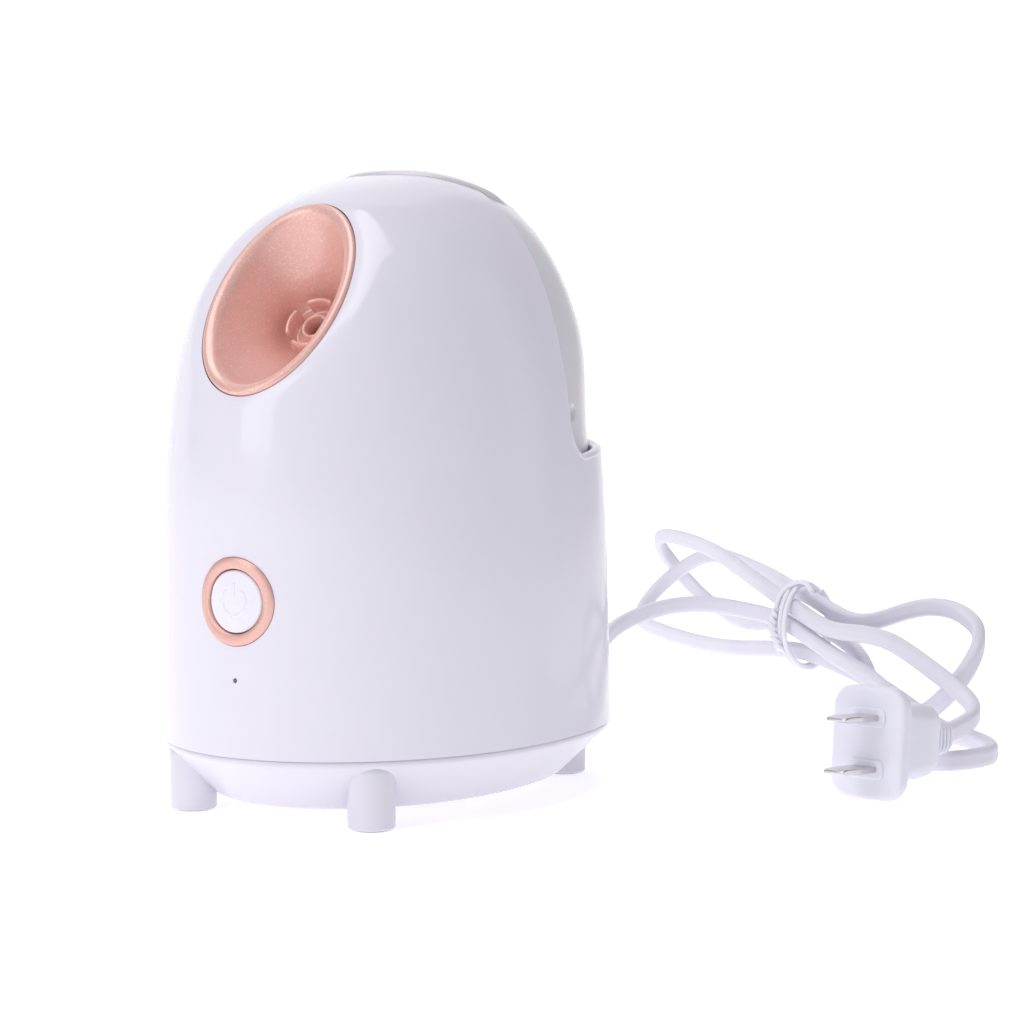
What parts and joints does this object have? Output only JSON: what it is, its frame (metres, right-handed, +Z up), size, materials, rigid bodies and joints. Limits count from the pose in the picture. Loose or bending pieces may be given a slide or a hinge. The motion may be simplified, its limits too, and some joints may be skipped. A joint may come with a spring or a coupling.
{
  "type": "facial steamer",
  "caption": "Egg-shaped table facial steamer with a tilted funnel nozzle, front power button, lift-off rear water tank, legged base and a tied mains cord with a flat two-blade plug.",
  "frame": {"origin": "on the table surface under the middle of the body, measured without the cord", "axes": "+Z up, the nozzle faces -Y, the water tank is at +Y, the body is symmetric across X"},
  "size_m": [0.2549, 0.4446, 0.1556],
  "materials": {
    "shell_white": "gloss moulded ABS, white with a faint cool cast",
    "base_white": "gloss moulded ABS, white",
    "rose_gold": "pearlescent rose gold paint with fine flake under clear gloss",
    "ring_rose": "rose gold trim, satin metallic paint",
    "button_white": "white satin gloss plastic",
    "tank_grey": "milky translucent warm grey plastic",
    "cap_white": "white moulded polypropylene",
    "dock_white": "white moulded plastic, inside part",
    "silicone": "milky silicone rubber",
    "rubber_grey": "pale grey non-slip rubber",
    "steel_screw": "zinc plated steel",
    "spring_steel": "stainless spring wire",
    "board_green": "green solder mask on glass laminate",
    "black_plastic": "black moulded component body",
    "relay_blue": "blue moulded component body",
    "terminal_green": "green moulded terminal block",
    "led_lens": "clear water white lens",
    "boiler_aluminium": "die cast aluminium, as cast",
    "lid_pps": "brown black heat resistant plastic",
    "ceramic": "sintered ceramic heater disc",
    "bracket_steel": "pressed zinc plated steel",
    "wire_red": "red wire insulation",
    "wire_white": "white wire insulation",
    "cord_white": "white PVC, satin",
    "plug_white": "white moulded PVC, satin",
    "blade_nickel": "nickel plated brass",
    "tie_white": "white plastic coated wire"
  },
  "bodies": {
    "housing": {"main_shell": "shell_white", "base_tray": "base_white", "foot_pads": "rubber_grey", "base_screws": "steel_screw", "nozzle_funnel": "rose_gold", "nozzle_guard": "rose_gold", "nozzle_lock_ring": "dock_white", "button_ring": "ring_rose", "tact_switch": "black_plastic", "control_board": "board_green", "board_chip": "black_plastic", "board_socket": "dock_white", "board_screws": "steel_screw", "indicator_led": "led_lens", "light_pipe": "led_lens", "tank_dock": "dock_white", "dock_seal": "silicone", "boiler_cup": "boiler_aluminium", "boiler_gasket": "silicone", "boiler_lid": "lid_pps", "boiler_screws": "steel_screw", "ptc_heater": "ceramic", "boiler_bracket": "bracket_steel", "bracket_screws": "steel_screw", "thermal_cutout": "black_plastic", "thermal_fuse": "bracket_steel", "steam_hose": "silicone", "feed_hose": "silicone", "mains_board": "board_green", "board_relay": "relay_blue", "film_capacitor": "terminal_green", "terminal_block": "terminal_green", "mains_fuse": "led_lens", "heater_wires": "wire_red", "control_cable": "wire_white", "cord_gland": "cord_white", "cord_clamp": "dock_white", "clamp_screws": "steel_screw", "mains_wires": "wire_white", "cord_lead": "cord_white", "cord_hank": "cord_white", "cord_tail": "cord_white", "twist_tie": "tie_white", "plug_body": "plug_white", "plug_blades": "blade_nickel"},
    "button": {"power_button": "button_white", "switch_plunger": "black_plastic"},
    "tank": {"water_tank": "tank_grey"},
    "cap": {"tank_cap": "cap_white", "cap_seal": "silicone", "valve_cage": "cap_white", "valve_spring": "spring_steel"},
    "valve": {"valve_plunger": "silicone"}
  },
  "joints": [
    {"name": "button_press", "type": "slide", "parent": "housing", "child": "button", "axis": [0, 1, 0], "range_m": [0, 0.0008], "stiffness_N_per_m": 600, "springref_m": -0.0003},
    {"name": "tank_lift", "type": "slide", "parent": "housing", "child": "tank", "axis": [0, 0, 1], "range_m": [0, 0.1]},
    {"name": "cap_turn", "type": "hinge", "parent": "tank", "child": "cap", "pos_m": [0, 0.034, 0.073], "axis": [0, 0, 1], "range_deg": [0, 60]},
    {"name": "valve_lift", "type": "slide", "parent": "cap", "child": "valve", "axis": [0, 0, 1], "range_m": [-0.0025, 0], "deforming": ["valve_spring"]}
  ],
  "couplings": [
    {"joint": "valve_lift", "follows": "tank_lift", "ratio": -0.024}
  ]
}
